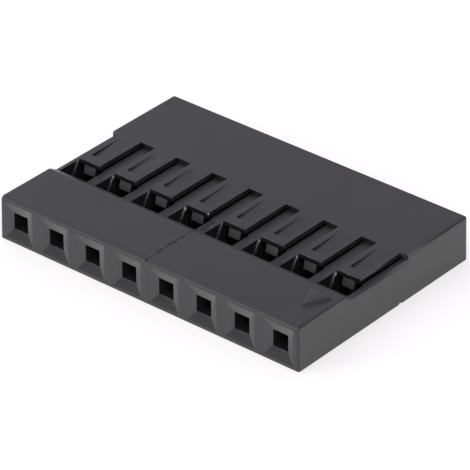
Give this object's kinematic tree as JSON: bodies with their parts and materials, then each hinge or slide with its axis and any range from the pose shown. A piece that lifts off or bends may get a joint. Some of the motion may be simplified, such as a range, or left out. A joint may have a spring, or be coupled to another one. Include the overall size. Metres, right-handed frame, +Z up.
{
  "type": "single-row crimp connector housing",
  "caption": "Flat one-piece black plastic housing for crimped jumper leads, with square pin openings in front, latch tongues in windows on top and wire entries behind.",
  "frame": {"origin": "centre of the underside of the housing's outline", "axes": "+X along the row towards the marked first way, +Y from the mating face to the wire side, +Z up through the face with the latch tongues"},
  "size_m": [0.0204, 0.0142, 0.0028],
  "materials": {
    "black_plastic": "as-moulded black glass-free nylon, satin with a fine grain"
  },
  "bodies": {
    "root": {"housing": "black_plastic"}
  },
  "joints": []
}
